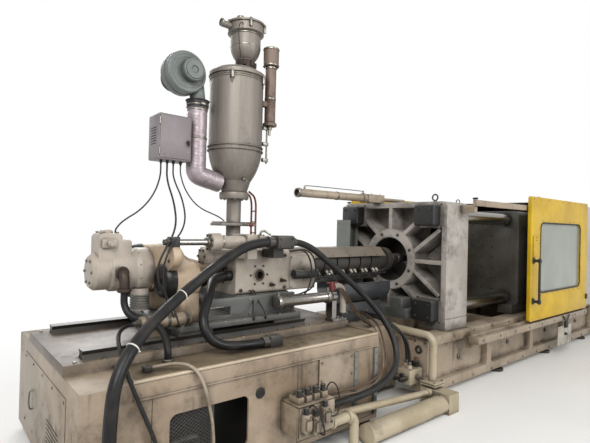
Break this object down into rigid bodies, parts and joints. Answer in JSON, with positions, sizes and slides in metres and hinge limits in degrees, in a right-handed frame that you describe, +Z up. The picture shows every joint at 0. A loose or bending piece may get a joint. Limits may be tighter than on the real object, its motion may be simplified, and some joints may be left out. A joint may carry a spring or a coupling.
{
  "type": "injection molding machine",
  "caption": "Horizontal injection molding machine: screw unit with hopper dryer on a sliding carriage, ribbed fixed platen with tie bars, guarded clamp end and sliding safety gate.",
  "frame": {"origin": "on the floor, on the machine's centreline, at mid-length", "axes": "+X along the screw from the injection end to the clamp end, +Y to the far side away from the sliding gate, +Z up"},
  "size_m": [8.9, 2.186, 3.452],
  "materials": {
    "cream_paint": "aged cream machine paint with grime",
    "platen_paint": "warm grey casting paint",
    "tan_casting": "oil-stained tan paint",
    "grey_paint": "grey paint",
    "yellow_paint": "safety yellow paint",
    "black_paint": "black paint, oily",
    "dark_steel": "dark oiled steel",
    "bare_steel": "dull stainless sheet",
    "chrome_rod": "hard chrome rod",
    "duct_wrap": "foil-faced wrap",
    "black_hose": "black rubber, dusty",
    "brown_cable": "brown sheathed cable",
    "clear_pane": "clear polycarbonate pane"
  },
  "bodies": {
    "root": {"injection_bed": "cream_paint", "bed_neck": "cream_paint", "drip_trays": "cream_paint", "guide_rails": "dark_steel", "mesh_grille": "dark_steel", "front_plate": "cream_paint", "levelling_feet": "dark_steel", "shift_rods": "chrome_rod", "fixed_platen": "platen_paint", "tie_bar_nuts": "black_paint", "tie_bars": "chrome_rod", "moving_platen": "platen_paint", "tail_platen": "platen_paint", "clamp_cylinder": "platen_paint", "clamp_bed": "cream_paint", "clamp_cover": "cream_paint", "gate_rails": "dark_steel", "far_gate": "yellow_paint", "top_cylinder": "cream_paint", "nozzle_bridge": "platen_paint", "drool_trough": "dark_steel", "bed_pipes": "cream_paint", "short_pipe": "cream_paint", "valve_block": "cream_paint", "hose_fittings": "dark_steel", "front_hose": "black_hose", "valve_hose_a": "black_hose", "valve_hose_b": "black_hose", "side_cable": "brown_cable"},
    "carriage": {"carriage_base": "grey_paint", "throat_block": "cream_paint", "injection_cylinders": "cream_paint", "injection_rods": "chrome_rod", "crosshead": "tan_casting", "hydraulic_motor": "cream_paint", "end_caps": "black_hose", "rod_brackets": "black_paint", "flange_valve": "cream_paint", "oil_tube": "tan_casting", "barrel": "dark_steel", "barrel_cover": "tan_casting", "shift_cylinders": "cream_paint", "feed_throat": "bare_steel", "hopper": "bare_steel", "hopper_lid": "bare_steel", "loader": "bare_steel", "blower": "grey_paint", "blower_duct": "duct_wrap", "control_box": "grey_paint", "return_pipe": "bare_steel", "hose_saddle": "dark_steel", "big_hose": "black_hose", "loop_hose": "black_hose"},
    "gate": {"gate_frame": "yellow_paint", "gate_window": "clear_pane", "gate_handle": "yellow_paint"}
  },
  "joints": [
    {"name": "gate_slide", "type": "slide", "parent": "root", "child": "gate", "axis": [1, 0, 0], "range_m": [-1.07, 0]},
    {"name": "carriage_slide", "type": "slide", "parent": "root", "child": "carriage", "axis": [1, 0, 0], "range_m": [-0.45, 0]}
  ]
}
